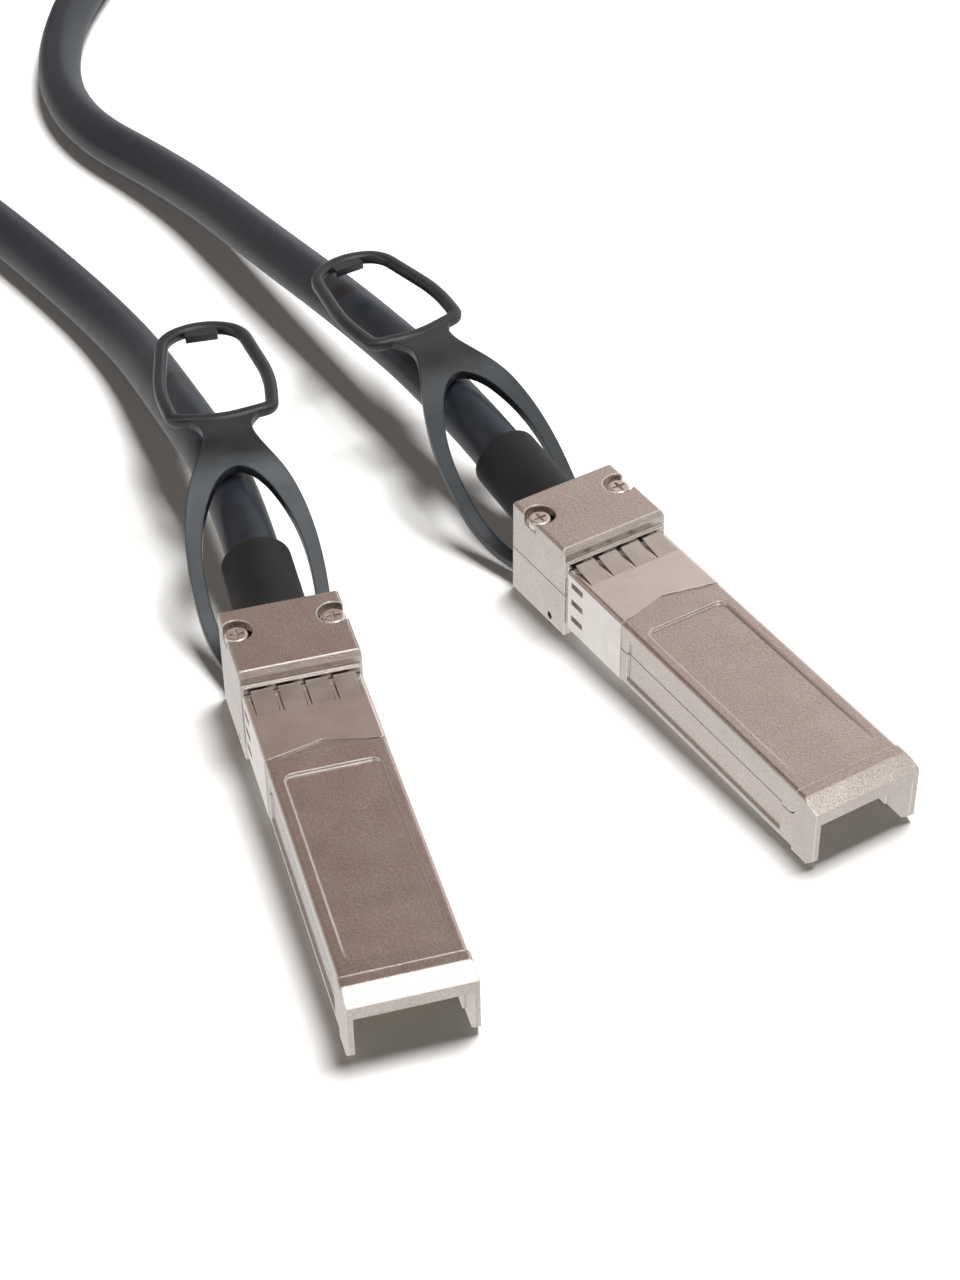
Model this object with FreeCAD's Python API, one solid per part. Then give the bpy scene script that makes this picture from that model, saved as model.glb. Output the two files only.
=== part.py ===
"""Direct attach copper cable: two die-cast pluggable ends on one round shielded cable.

Every plug is built in its own frame: x across, y back from the mating end, z up from the body's
underside. Each is then laid on the row's floor, z = 0. The row's origin is the middle of plug A's
mating end, on that floor, and +Y runs back along plug A. Millimetres and degrees.
"""

import math
import os

import FreeCAD, Part

V = FreeCAD.Vector

# Plug body, from the mating end back to the shoulder that stops against the cage.
body_width = 13.4
body_height = 8.5
body_length = 47.5
nose_proud = 0.15  # the nose stands out of each side of the body by this much
nose_rise = 0.1  # and above its top by this much
nose_length = 3.7
nose_lip = 2.4  # top plate of the nose, over the mouth
nose_chamfer = 1.1  # lower front corners of the nose
nose_facet = 2.4  # length of the slanted facet at the top of the nose
nose_facet_drop = 0.8
long_round = 0.4  # edges along the body
skirt_wall = 0.7  # side walls of the mouth
skirt_step = 0.2  # they are thicker by this much behind the nose
side_wall = 1.2
lid_thickness = 1.3
floor_thickness = 1.0
bottom_opening = 10.4  # the floor starts this far back from the mating end
parting_height = 4.8
parting_round = 1.2  # where the parting line turns up behind the nose
parting_groove = 0.12  # width and depth of the line between the shells

# Rear block, which the hand holds and the cable enters.
block_length = 11.0
block_proud = 0.25  # the block stands out of each side of the body by this much
block_rise = 2.7  # and above its top by this much
block_drop = 1.35  # underside of the block below the body's underside
block_bevel = 0.6
block_corner = 0.25
block_rear_wall = 1.5
block_front_wall = 1.2
block_roof = 1.2
ledge_rise = 1.0  # step of the cover in front of the block, above the body's top
ledge_gap = 0.1  # between the collar and that step
throat_wall = 1.5  # beside the cable space, in from the body's side
throat_floor = 1.0  # between the latch's channel and the cable space
post_wall = 0.6  # between a screw's shank and the cable space

# Recessed panels of the body.
panel_depth = 0.25
side_panel_start = 6.0
side_panel_gap = 1.3  # ahead of the collar
side_panel_low = 0.9
side_panel_margin = 1.7  # below the body's top
top_panel_start = 5.5  # its floor runs out to nothing here
top_panel_knee = 12.0
top_panel_gap = 2.8  # ahead of the collar
top_panel_margin = 1.4  # beside it
top_panel_knee_depth = 0.2
top_panel_depth = 0.32  # at its rear edge
top_panel_round = 1.0

# Folded shield collar.
collar_length = 10.7
collar_setback = 0.5  # between the collar and the shoulder
collar_notch = 1.5  # depth of the V in its front edge
collar_tip = 0.6  # the V starts this far in from the body's sides
collar_thickness = 0.2
collar_proud = 0.1  # stands out of the body by this much
collar_seat_gap = 0.02
collar_corner = 0.5
finger_count = 4
finger_length = 3.3
finger_setback = 0.2  # between a finger's end and the collar's end
finger_root = 0.2  # part of a finger that lies in the collar's flat top
finger_rise = 0.65
finger_margin = 0.5  # beside the row of fingers
finger_strip = 0.6  # between two fingers
finger_gap = 0.1  # slit at each side of a finger
side_slot_setback = 0.7  # between a slot and the collar's end
side_slot_length = 2.3
side_slot_width = 0.8
side_slot_pitch = 2.45
side_slot_raise = 0.4  # of the middle slot above the body's middle
side_slot_depth = 0.45  # pocket of the body behind a slot

# Cover screws.
screw_behind = 7.4  # behind the body's shoulder
screw_inset = 1.4  # in from the block's side
screw_head_radius = 1.35
screw_head_height = 1.1
screw_head_round = 0.35
screw_shank_radius = 0.75
screw_length = 8.2
counterbore_radius = 1.85
counterbore_depth = 1.5
recess_arm = 0.32  # width of the cross recess
recess_reach = 0.84  # half length of its arms
recess_depth = 0.6

# Latch: a rocker on a cross pin, with the boss that locks in the cage.
latch_setback = 2.5  # the boss locks this far ahead of the body's shoulder
boss_length = 2.6
boss_width = 2.6
boss_height = 0.45
rocker_arm_width = 2.6
rocker_gap = 0.16  # between the rocker and each spring
rocker_thickness = 0.8
rocker_rear_height = 0.7
rocker_tail = 5.9  # behind the pin
rocker_hub_radius = 0.85
latch_channel_top = 1.2
latch_clearance = 0.2
pin_behind = 3.1  # behind the body's shoulder
pin_height = -0.4
pin_radius = 0.5
pin_recess = 0.5  # each end of the pin lies this far inside the block's side
pin_clearance = 0.04
latch_turn = 4.3
pull_travel = 2.0

# Pull tab: one moulding, with a foot in the block, two arms round the cable, a neck and a loop.
tab_thickness = 1.0
tab_foot_height = 0.6  # middle of the sheet where it runs in the block
foot_behind = 5.1  # behind the body's shoulder
foot_length = 1.4
arm_wall = 0.65  # of the block beside each arm
arm_width = 1.6
arm_bow = 1.6
arm_bow_behind = 11.0  # behind the block, as the next places along the tab are
tab_bend_behind = 1.1
tab_ease = 5.0  # length along which the sheet bends, each side of a corner
tab_rise = 13.2
tab_rise_behind = 24.5
crotch_behind = 23.5
neck_behind = 29.5
neck_width = 6.0
shoulder_draw = 0.6  # the arms draw in by this much where the shoulders start
shoulder_start = 5.4  # ahead of the crotch
shoulder_spread = 2.5  # outside the neck where the shoulders turn
shoulder_turn = 0.6  # ahead of the crotch
neck_spread = 0.6  # outside the neck where it starts
neck_start = 3.2  # behind the crotch
neck_flare = 1.2  # outside the neck where it meets the loop
window_draw = 0.1
crotch_draw = 1.6
crotch_start = 4.6
loop_behind = 1.6  # behind the neck
loop_length = 21.6
loop_width = 14.6
loop_near_bow = 1.3  # the near side bulges this far towards the neck
loop_near_radius = 12.0
loop_corner_radius = 2.2
loop_side_radius = 22.0
loop_shoulder_radius = 4.6
loop_far_radius = 8.0
loop_band = 1.6
loop_bead = 1.5  # thickness of the rounded rim
nub_width = 4.0
nub_depth = 1.6
slot_clearance = 0.15

# Return springs behind the foot.
spring_radius = 0.7
spring_wire = 0.14  # radius of the wire
spring_turns = 4
spring_turn_points = 12
spring_inset = 1.0  # in from the arms
spring_gap = 0.05

# Cable, its moulded boot and what is inside.
cable_radius = 3.25
cable_axis = 5.6
boot_radius = 4.2
boot_length = 13.3
boot_straight = 1.4  # behind the block, before the boot curves up
boot_lift = 9.0
boot_bend_radius = 30.0
boot_round = 0.9
boot_flange_gap = 0.1  # between the flange and each screw post
boot_flange_thickness = 1.3
boot_clearance = 0.05
jacket_behind = 4.1  # behind the body's shoulder
ferrule_length = 2.4
ferrule_wall = 0.5
ferrule_setback = 0.3
wire_radius = 0.45
wire_pitch = 1.0
pair_pitch = 3.2
pair_pitch_in_jacket = 2.1
pair_straight = 2.2  # cores ahead of the jacket, before they spread
pair_slope_end = 3.4  # behind the card, where they come down to it
pair_land = 2.6  # length soldered on the card

# Paddle card and what is on it.
card_setback = 5.8
card_length = 32.4
card_side_gap = 0.9
card_thickness = 1.0
card_underside = 2.25
card_chamfer = 0.3
pad_count = 10
pad_pitch = 0.8
pad_width = 0.55
pad_length = 2.8
pad_thickness = 0.05
pad_setback = 0.5
memory_size = 3.0
memory_height = 0.8
memory_setback = 18.2  # behind the card's front edge, as the capacitors are
capacitor_length = 1.0
capacitor_width = 0.5
capacitor_setback = 6.2
capacitor_places = (-2.7, -1.5, 1.5, 2.7)
rail_width = 0.8
rail_inset = 3.0  # the ribs over the card are shorter by this at each end

# How the two plugs lie: place of the mating end, and the turn about the vertical.
plugs = {
    "a": {"x": 0.0, "y": 0.0, "turn": 0.0, "sway": -3.0},
    "b": {"x": 53.5, "y": 14.2, "turn": 16.35, "sway": 0.0},
}

# Free cable: it leaves the boot straight for a lead, then goes through these points of the row.
cable_lead = 13.0
bend_share = 0.45  # part of the shorter run that a bend between two runs takes up
route_a = [(-2.4, 107.0, 8.5), (-4.6, 131.0, 3.6), (-13.8, 158.0, 3.4),
           (-28.0, 192.0, 3.3), (-41.0, 226.0, 3.3), (-48.0, 254.0, 3.3)]
route_b = [(23.6, 118.0, 10.4), (16.6, 143.0, 7.6), (10.2, 168.0, 4.4),
           (-3.0, 194.0, 3.4), (1.0, 222.0, 3.4), (15.0, 247.0, 4.6)]

# Put-away coil of the rest of the cable, and its tie.
coil_x = -12.0
coil_y = 290.0
coil_middle_radius = 37.0
coil_columns = 2
coil_rows = 2
coil_round = 2.6
coil_entry_angle = 190.0
coil_exit_angle = -20.0
coil_bite = 2.0  # how far each run of cable goes into the coil's solid
tie_angle = 90.0
tie_width = 12.0
tie_thickness = 0.8

# Worked out from the sizes above.
nose_width = body_width + 2 * nose_proud
nose_height = body_height + nose_rise
block_width = body_width + 2 * block_proud
block_top = body_height + block_rise
block_end = body_length + block_length
block_inner_end = block_end - block_rear_wall
throat_low = latch_channel_top + throat_floor
throat_width = body_width - 2 * throat_wall
collar_end = body_length - collar_setback
collar_start = collar_end - collar_length
side_panel_end = collar_start - side_panel_gap
top_panel_end = collar_start - top_panel_gap
finger_end = collar_end - finger_setback
finger_start = finger_end - finger_length
finger_pitch = (body_width - 2 * finger_margin) / finger_count
finger_width = finger_pitch - finger_strip
side_slot_start = collar_end - side_slot_setback - side_slot_length
screw_from_end = body_length + screw_behind
screw_spacing = block_width - 2 * screw_inset
post_gap = screw_spacing - 2 * (screw_shank_radius + post_wall)
latch_shoulder = body_length - latch_setback
pin_from_end = body_length + pin_behind
foot_start = body_length + foot_behind
foot_back = foot_start + foot_length
arm_outside = block_width / 2 - arm_wall
arm_inside = arm_outside - arm_width
spring_spacing = 2 * (arm_inside - spring_inset)
rocker_width = spring_spacing - 2 * (spring_radius + spring_wire + rocker_gap)
tab_bend_start = block_end + tab_bend_behind
arm_bow_at = block_end + arm_bow_behind
tab_rise_end = block_end + tab_rise_behind
crotch_at = block_end + crotch_behind
neck_at = block_end + neck_behind
loop_start = neck_at + loop_behind
loop_end = loop_start + loop_length
boot_end = block_end + boot_length
jacket_start = body_length + jacket_behind
card_width = body_width - 2 * (side_wall + card_side_gap)
card_end = card_setback + card_length
parting_back = block_end + 1.0
card_top = card_underside + card_thickness
boot_hole_radius = boot_radius + boot_clearance
collar_inset = collar_thickness - collar_proud
ferrule_radius = cable_radius + ferrule_wall
plug_tilt = math.degrees(math.atan2(block_drop, body_length - nose_chamfer))
plug_lift = -nose_chamfer * math.sin(math.radians(plug_tilt))
through = 40.0  # longer than any wall that is cut through


def box(x_low, x_high, y_low, y_high, z_low, z_high):
    return Part.makeBox(
        x_high - x_low, y_high - y_low, z_high - z_low, V(x_low, y_low, z_low)
    )


def wide_box(width, y_low, y_high, z_low, z_high):
    """A box across the plug's middle plane."""
    return box(-width / 2, width / 2, y_low, y_high, z_low, z_high)


def join(shapes):
    whole = shapes[0]
    for shape in shapes[1:]:
        whole = whole.fuse(shape)
    return whole.removeSplitter()


def edges_where(shape, test):
    return [edge for edge in shape.Edges if test(edge.BoundBox)]


def along_y(bound, least=1.0):
    return bound.YLength > least and bound.XLength < 0.01 and bound.ZLength < 0.01


def along_x(bound, least=1.0):
    return bound.XLength > least and bound.YLength < 0.01 and bound.ZLength < 0.01


def side_profile(points, width):
    """A prism across the plug from points (y, z) of its side view."""
    wire = Part.makePolygon([V(-width / 2, y, z) for y, z in points + points[:1]])
    return Part.Face(wire).extrude(V(width, 0, 0))


def rounded_wire(points, radii):
    """Closed outline in a plane: straight lines joined by tangent arcs, one radius per point."""
    count = len(points)
    starts, ends, arcs = [], [], []
    for i, (point, radius) in enumerate(zip(points, radii)):
        back = points[i - 1].sub(point).normalize()
        ahead = points[(i + 1) % count].sub(point).normalize()
        half = back.getAngle(ahead) / 2
        reach = radius / math.tan(half)
        first, last = point + back * reach, point + ahead * reach
        middle_way = (back + ahead).normalize()
        middle = point + middle_way * (radius / math.sin(half) - radius)
        starts.append(first)
        ends.append(last)
        arcs.append(Part.Arc(first, middle, last).toShape())
    edges = []
    for i in range(count):
        edges.append(arcs[i])
        following = starts[(i + 1) % count]
        if ends[i].distanceToPoint(following) > 1e-4:
            edges.append(Part.LineSegment(ends[i], following).toShape())
    return Part.Wire(edges)


def rounded_ring_section(width, low, high, corner, y):
    """Closed outline of the body at y, with rounded corners."""
    half = width / 2
    points = [V(-half, y, low), V(half, y, low), V(half, y, high), V(-half, y, high)]
    return rounded_wire(points, [corner] * 4)


def body_envelope():
    body = wide_box(body_width, 0, body_length + 1, 0, body_height)
    body = body.makeFillet(long_round, edges_where(body, along_y))
    nose = wide_box(nose_width, 0, nose_length, 0, nose_height)
    top_edges = edges_where(nose, lambda b: along_y(b) and b.ZMax > nose_height - 0.01)
    nose = nose.makeFillet(long_round, top_edges)
    nose = nose.cut(side_profile([(-1, nose_height + 1), (nose_facet, nose_height + 1),
                                  (nose_facet, nose_height), (0, nose_height - nose_facet_drop),
                                  (-1, nose_height - nose_facet_drop)], through))
    low_front = edges_where(nose, lambda b: along_x(b) and b.YMax < 0.01 and b.ZMax < 0.01)
    nose = nose.makeChamfer(nose_chamfer, low_front)
    front = wide_box(2 * body_width, -1, nose_chamfer, -1, nose_chamfer)
    body = body.cut(front.cut(side_profile([(0, nose_chamfer), (nose_chamfer, 0),
                                            (nose_chamfer, nose_chamfer)], 3 * body_width)))
    body = body.cut(wide_box(through, -1, nose_facet, nose_height - nose_lip, body_height + 1))
    return body.fuse(nose)


def block_envelope():
    block = wide_box(block_width, body_length, block_end, -block_drop, block_top)
    sides = edges_where(block, lambda b: along_y(b) and b.ZMax > block_top - 0.01)
    block = block.makeChamfer(block_corner, sides)
    front = edges_where(
        block, lambda b: along_x(b) and b.YMax < body_length + 0.01 and b.ZMax > block_top - 0.01
    )
    return block.makeChamfer(block_bevel, front)


def side_panels():
    """Cutters of the shallow recess in each side of the body."""
    depth = body_width / 2 - panel_depth
    cutters = []
    for side in (-1, 1):
        near, far = sorted((side * depth, side * body_width))
        cutters.append(box(near, far, side_panel_start, side_panel_end, side_panel_low,
                           body_height - side_panel_margin))
    return cutters


def top_panel():
    """Cutter of the label recess: its floor slopes, so that it runs out towards the nose."""
    half = body_width / 2 - top_panel_margin
    points = [V(-half, top_panel_start, 0), V(half, top_panel_start, 0),
              V(half, top_panel_end, 0), V(-half, top_panel_end, 0)]
    plate = Part.Face(rounded_wire(points, [top_panel_round] * 4)).extrude(V(0, 0, through))
    floor = side_profile([(top_panel_start, body_height),
                          (top_panel_knee, body_height - top_panel_knee_depth),
                          (top_panel_end, body_height - top_panel_depth),
                          (top_panel_end, body_height + 1), (top_panel_start, body_height + 1)],
                         through)
    return plate.common(floor)


def collar_form(extra, front, end):
    """The body's outline from front to end, extra outside the body's own surface."""
    section = rounded_ring_section(body_width + 2 * extra, -extra, body_height + extra,
                                   collar_corner, front)
    return Part.Face(section).extrude(V(0, end - front, 0))


def collar_seat():
    """What is taken off the body under the collar."""
    inner = collar_form(-collar_inset - collar_seat_gap, collar_start, body_length)
    whole = wide_box(2 * body_width, collar_start, body_length, -2, body_height + 3)
    return whole.cut(inner)


def cover_ledge():
    """Step of the cover between the collar and the block."""
    return wide_box(body_width, collar_end + ledge_gap, body_length + block_front_wall,
                    body_height - lid_thickness, body_height + ledge_rise)


def side_slots(x_low, x_high):
    """Cutters of the slots in the collar's sides, and of the pockets behind them."""
    cutters = []
    for place in (-1, 0, 1):
        z = body_height / 2 + side_slot_raise + place * side_slot_pitch
        for low, high in ((x_low, x_high), (-x_high, -x_low)):
            cutters.append(box(low, high, side_slot_start, side_slot_start + side_slot_length,
                               z - side_slot_width / 2, z + side_slot_width / 2))
    return cutters


def spring_finger(x):
    """A finger of the collar's top, rising towards the block, and the gap that frees it."""
    top, under = body_height + collar_proud, body_height - collar_inset
    half = finger_width / 2
    finger = side_profile([(finger_start - finger_root, under), (finger_start, under),
                           (finger_end, under + finger_rise), (finger_end, top + finger_rise),
                           (finger_start, top), (finger_start - finger_root, top)],
                          finger_width)
    finger.translate(V(x, 0, 0))
    gap = box(x - half - finger_gap, x + half + finger_gap, finger_start, collar_end + 1,
              under - 1, top + 1)
    return finger, gap


def emi_collar():
    outer = collar_form(collar_proud, collar_start, collar_end)
    inner = collar_form(-collar_inset, collar_start - 1, collar_end + 1)
    shell = outer.cut(inner)
    low, tip = body_height - 1.5, body_width / 2 - collar_tip
    shell = shell.cut(Part.Face(Part.makePolygon([
        V(-body_width, collar_start - 1, low), V(body_width, collar_start - 1, low),
        V(tip, collar_start, low), V(0, collar_start + collar_notch, low),
        V(-tip, collar_start, low), V(-body_width, collar_start - 1, low),
    ])).extrude(V(0, 0, 4)))
    fingers = []
    for i in range(finger_count):
        finger, gap = spring_finger((i - (finger_count - 1) / 2) * finger_pitch)
        shell = shell.cut(gap)
        fingers.append(finger)
    for slot in side_slots(body_width / 2 - 1, body_width):
        shell = shell.cut(slot)
    latch_window = boss_width / 2 + 3 * latch_clearance
    shell = shell.cut(box(-latch_window, latch_window,
                          latch_shoulder - boss_length - 3 * latch_clearance, body_length, -2, 1))
    return join([shell] + fingers)


def screw_places():
    return [(side * screw_spacing / 2, screw_from_end) for side in (-1, 1)]


def screw_holes():
    cutters = []
    for x, y in screw_places():
        seat = block_top - counterbore_depth
        cutters.append(Part.makeCylinder(counterbore_radius, through, V(x, y, seat)))
        cutters.append(Part.makeCylinder(screw_shank_radius, screw_length - screw_head_height,
                                         V(x, y, seat - screw_length + screw_head_height)))
    return cutters


def cover_screws():
    """Both screws of a plug, each a turned head and shank with a cross recess."""
    screws = []
    seat = block_top - counterbore_depth
    shank_length = screw_length - screw_head_height
    for x, y in screw_places():
        head = Part.makeCylinder(screw_head_radius, screw_head_height, V(x, y, seat))
        rim = edges_where(head, lambda b: b.ZMin > seat + screw_head_height - 0.01)
        head = head.makeFillet(screw_head_round, rim)
        shank = Part.makeCylinder(screw_shank_radius, shank_length, V(x, y, seat - shank_length))
        screw = head.fuse(shank)
        top = seat + screw_head_height
        arm, reach = recess_arm / 2, recess_reach
        for wide, deep in ((reach, arm), (arm, reach)):
            screw = screw.cut(box(x - wide, x + wide, y - deep, y + deep, top - recess_depth,
                                  top + 1))
        screws.append(screw)
    return Part.makeCompound(screws)


def cavities():
    """Everything that is hollow inside the two shells."""
    mouth_width = nose_width - 2 * skirt_wall
    return [
        wide_box(mouth_width, -1, nose_length, -1, nose_height - nose_lip),
        wide_box(mouth_width - 2 * skirt_step, nose_length, bottom_opening, -1,
                 body_height - lid_thickness),
        wide_box(body_width - 2 * side_wall, bottom_opening, body_length - 1, floor_thickness,
                 body_height - lid_thickness),
        wide_box(throat_width, body_length - 1, jacket_start, throat_low,
                 body_height - lid_thickness),
        wide_box(throat_width, body_length + block_front_wall, jacket_start, throat_low,
                 block_top - block_roof),
        wide_box(post_gap, jacket_start, block_inner_end, throat_low, block_top - block_roof),
        Part.makeCylinder(boot_hole_radius, through, V(0, block_inner_end - 0.1, cable_axis),
                          V(0, 1, 0)),
        Part.makeCylinder(ferrule_radius + slot_clearance, block_inner_end - jacket_start,
                          V(0, jacket_start, cable_axis), V(0, 1, 0)),
    ]


def latch_spaces():
    """Channel of the rocker, pocket of the tab's foot, and the bore of the cross pin."""
    gap = latch_clearance
    foot_half = arm_outside + slot_clearance
    front = latch_shoulder - boss_length - gap
    narrow = rocker_arm_width + 2 * gap
    hub = rocker_width + 2 * gap
    pocket_front = foot_start - gap
    slots_low = tab_foot_height - tab_thickness / 2 - slot_clearance
    spaces = [
        wide_box(narrow, front, body_length, -1, floor_thickness + 0.1),
        wide_box(hub, body_length + 0.8, pocket_front + 1, -block_drop - 1, latch_channel_top),
        wide_box(narrow, body_length - 1.1, body_length + 1, -block_drop - 1, latch_channel_top),
        wide_box(2 * foot_half, pocket_front, block_inner_end, -block_drop - 1,
                 latch_channel_top),
        Part.makeCylinder(pin_radius, block_width + 2, V(-block_width / 2 - 1, pin_from_end,
                                                         pin_height), V(1, 0, 0)),
    ]
    for side in (-1, 1):
        near, far = sorted((side * (arm_inside - slot_clearance), side * foot_half))
        spaces.append(box(near, far, block_inner_end - 1, block_end + 1, -block_drop - 1,
                          latch_channel_top))
    return spaces


def card_rails():
    """Ledges under the card and ribs over it, along both sides."""
    inner = body_width / 2 - side_wall
    low, high = [], []
    for side in (-1, 1):
        near, far = sorted((side * (card_width / 2 - rail_width), side * inner))
        low.append(box(near, far, bottom_opening, card_end, floor_thickness, card_underside))
        high.append(box(near, far, bottom_opening + rail_inset, card_end - rail_inset, card_top,
                        body_height - lid_thickness))
    return low, high


def parting_tool():
    """All that lies below the parting surface, with its turn up behind the nose."""
    corner = nose_length + parting_round
    top = parting_height + parting_round
    turn = parting_round * (1 - math.sqrt(0.5))
    low, high, wide = -block_drop - 2, nose_height + 3, 2 * block_width
    outline = [
        Part.LineSegment(V(-wide, -2, low), V(-wide, parting_back, low)),
        Part.LineSegment(V(-wide, parting_back, low), V(-wide, parting_back, parting_height)),
        Part.LineSegment(V(-wide, parting_back, parting_height), V(-wide, corner, parting_height)),
        Part.Arc(V(-wide, corner, parting_height),
                 V(-wide, nose_length + turn, parting_height + turn), V(-wide, nose_length, top)),
        Part.LineSegment(V(-wide, nose_length, top), V(-wide, nose_length, high)),
        Part.LineSegment(V(-wide, nose_length, high), V(-wide, -2, high)),
        Part.LineSegment(V(-wide, -2, high), V(-wide, -2, low)),
    ]
    return Part.Face(Part.Wire([line.toShape() for line in outline])).extrude(V(2 * wide, 0, 0))


def shell_line(tool):
    """The groove that shows between the shells, along the sides and across the nose."""
    groove = parting_groove
    strip = tool.cut(tool.translated(V(0, -groove, -groove)))
    cores = [
        wide_box(nose_width - 2 * groove, -through, nose_length, -through, nose_height - groove),
        wide_box(body_width - 2 * (panel_depth + groove), nose_length, body_length, -through,
                 body_height),
        wide_box(block_width - 2 * groove, body_length, 2 * block_end, -through, through),
    ]
    for core in cores:
        strip = strip.cut(core)
    return strip


def shells():
    """Lower shell and cover: one envelope, hollowed and parted."""
    whole = body_envelope().fuse(block_envelope()).cut(collar_seat()).fuse(cover_ledge())
    cutters = side_panels() + side_slots(body_width / 2 - side_slot_depth, body_width)
    cutters += [top_panel()] + screw_holes() + cavities() + latch_spaces()
    for cutter in cutters:
        whole = whole.cut(cutter)
    low_rails, high_rails = card_rails()
    tool = parting_tool()
    lower = whole.common(tool).cut(shell_line(tool))
    cover = whole.cut(tool)
    for rail in low_rails:
        lower = lower.fuse(rail)
    for rail in high_rails:
        cover = cover.fuse(rail.cut(tool))
    return lower.removeSplitter(), cover.removeSplitter()


def latch_rocker():
    """Lever with the boss in front of the pin and a ramp behind it, under the tab's foot."""
    front = latch_shoulder - boss_length
    bore = pin_radius + pin_clearance
    arm = side_profile([(front, 0), (pin_from_end, 0), (pin_from_end, rocker_thickness),
                        (front, rocker_thickness)], rocker_arm_width)
    boss = side_profile([(front, 0), (front + boss_height, -boss_height),
                         (latch_shoulder, -boss_height), (latch_shoulder, 0)], boss_width)
    hub = Part.makeCylinder(rocker_hub_radius, rocker_width,
                            V(-rocker_width / 2, pin_from_end, pin_height), V(1, 0, 0))
    foot_low = tab_foot_height - tab_thickness / 2
    level = foot_low - pin_clearance * 2
    ramp = math.tan(math.radians(latch_turn)) * (foot_back + pull_travel - pin_from_end)
    tail_end = pin_from_end + rocker_tail
    top_end = level + ramp * (tail_end - foot_back) / pull_travel
    tail = side_profile([(pin_from_end, pin_height - rocker_rear_height / 2),
                         (tail_end, level - rocker_rear_height), (tail_end, top_end),
                         (foot_back + slot_clearance, level), (pin_from_end, level)],
                        rocker_width)
    rocker = join([arm, boss, hub, tail])
    return rocker.cut(Part.makeCylinder(bore, through, V(-through / 2, pin_from_end, pin_height),
                                        V(1, 0, 0)))


def latch_pin():
    half = block_width / 2 - pin_recess
    return Part.makeCylinder(pin_radius, 2 * half, V(-half, pin_from_end, pin_height), V(1, 0, 0))


def return_springs():
    """Two coil springs between the tab's foot and the block's rear wall."""
    start = foot_back + spring_gap
    length = block_inner_end - start - spring_gap - 2 * spring_wire
    height = latch_channel_top - spring_radius - spring_wire - spring_gap
    points = []
    for step in range(spring_turns * spring_turn_points + 1):
        angle = 2 * math.pi * step / spring_turn_points
        along = start + spring_wire + length * step / (spring_turns * spring_turn_points)
        points.append(V(spring_radius * math.cos(angle), along,
                        height + spring_radius * math.sin(angle)))
    ahead = (points[1] - points[0]).normalize()
    across = ahead.cross(V(0, 0, 1)).normalize()
    up = across.cross(ahead)
    corners = [points[0] + across * (spring_wire * math.cos(math.pi * i / 3))
               + up * (spring_wire * math.sin(math.pi * i / 3)) for i in range(7)]
    section = Part.makePolygon(corners)
    spring = Part.makePolygon(points).makePipeShell([section], True, False, 1)
    springs = []
    for side in (-1, 1):
        springs.append(spring.translated(V(side * spring_spacing / 2, 0, 0)))
    return Part.makeCompound(springs)


def swayed(x, y, sway):
    """A point of the tab's plan, bent sideways behind the block by an even curve up to the neck."""
    reach = neck_at - tab_bend_start
    angle = math.radians(sway)
    past = y - tab_bend_start
    if past <= 0 or abs(angle) < 1e-6:
        return V(x, y, 0)
    turned = angle * min(past / reach, 1.0)
    radius = reach / angle
    middle_x = -radius * (1 - math.cos(turned))
    middle_y = tab_bend_start + radius * math.sin(turned)
    beyond = max(past - reach, 0.0)
    middle_x -= beyond * math.sin(turned)
    middle_y += beyond * math.cos(turned)
    return V(middle_x + x * math.cos(turned), middle_y + x * math.sin(turned), 0)


def spline(points):
    curve = Part.BSplineCurve()
    curve.interpolate(points)
    return curve.toShape()


def loop_outline(sway):
    """Rim of the finger loop: bowed towards the neck, tight near corners, rounded far end."""
    half = loop_width / 2
    right = [(0.93 * half, loop_near_bow, loop_corner_radius),
             (1.05 * half, 0.38 * loop_length, loop_side_radius),
             (0.78 * half, 0.9 * loop_length, loop_shoulder_radius)]
    corners = [(0, 0, loop_near_radius)] + right + [(0, 1.03 * loop_length, loop_far_radius)]
    corners += [(-x, along, radius) for x, along, radius in right[::-1]]
    points = [swayed(x, loop_start + along, sway) for x, along, _ in corners]
    return rounded_wire(points, [radius for _, _, radius in corners])


def tab_plan(sway):
    """Plan of foot, arms and neck, extruded upright; it ends inside the loop's rim."""
    bowed_out, bowed_in = arm_outside + arm_bow, arm_inside + arm_bow
    half_neck = neck_width / 2
    outer = [(arm_outside, tab_bend_start), (bowed_out, arm_bow_at),
             (bowed_out - shoulder_draw, crotch_at - shoulder_start),
             (half_neck + shoulder_spread, crotch_at - shoulder_turn),
             (half_neck + neck_spread, crotch_at + neck_start), (half_neck, neck_at),
             (half_neck + neck_flare, loop_start + loop_band / 2)]
    inner = [(arm_inside, tab_bend_start), (bowed_in - window_draw, arm_bow_at),
             (bowed_in - crotch_draw, crotch_at - crotch_start), (0, crotch_at)]
    right = [swayed(x, y, sway) for x, y in outer]
    left = [swayed(-x, y, sway) for x, y in outer]
    edges = [
        Part.LineSegment(V(-arm_outside, foot_start, 0), V(arm_outside, foot_start, 0)).toShape(),
        Part.LineSegment(V(arm_outside, foot_start, 0), right[0]).toShape(),
        spline(right),
        Part.LineSegment(right[-1], left[-1]).toShape(),
        spline(left[::-1]),
        Part.LineSegment(left[0], V(-arm_outside, foot_start, 0)).toShape(),
    ]
    outline = Part.Face(Part.Wire(edges)).extrude(V(0, 0, through))
    window_points = [swayed(x, y, sway) for x, y in inner]
    window_points += [swayed(-x, y, sway) for x, y in inner[-2::-1]]
    window = Part.Wire([
        spline(window_points),
        Part.LineSegment(window_points[-1], V(-arm_inside, foot_back, 0)).toShape(),
        Part.LineSegment(V(-arm_inside, foot_back, 0), V(arm_inside, foot_back, 0)).toShape(),
        Part.LineSegment(V(arm_inside, foot_back, 0), window_points[0]).toShape(),
    ])
    return outline.cut(Part.Face(window).extrude(V(0, 0, through)))


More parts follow.
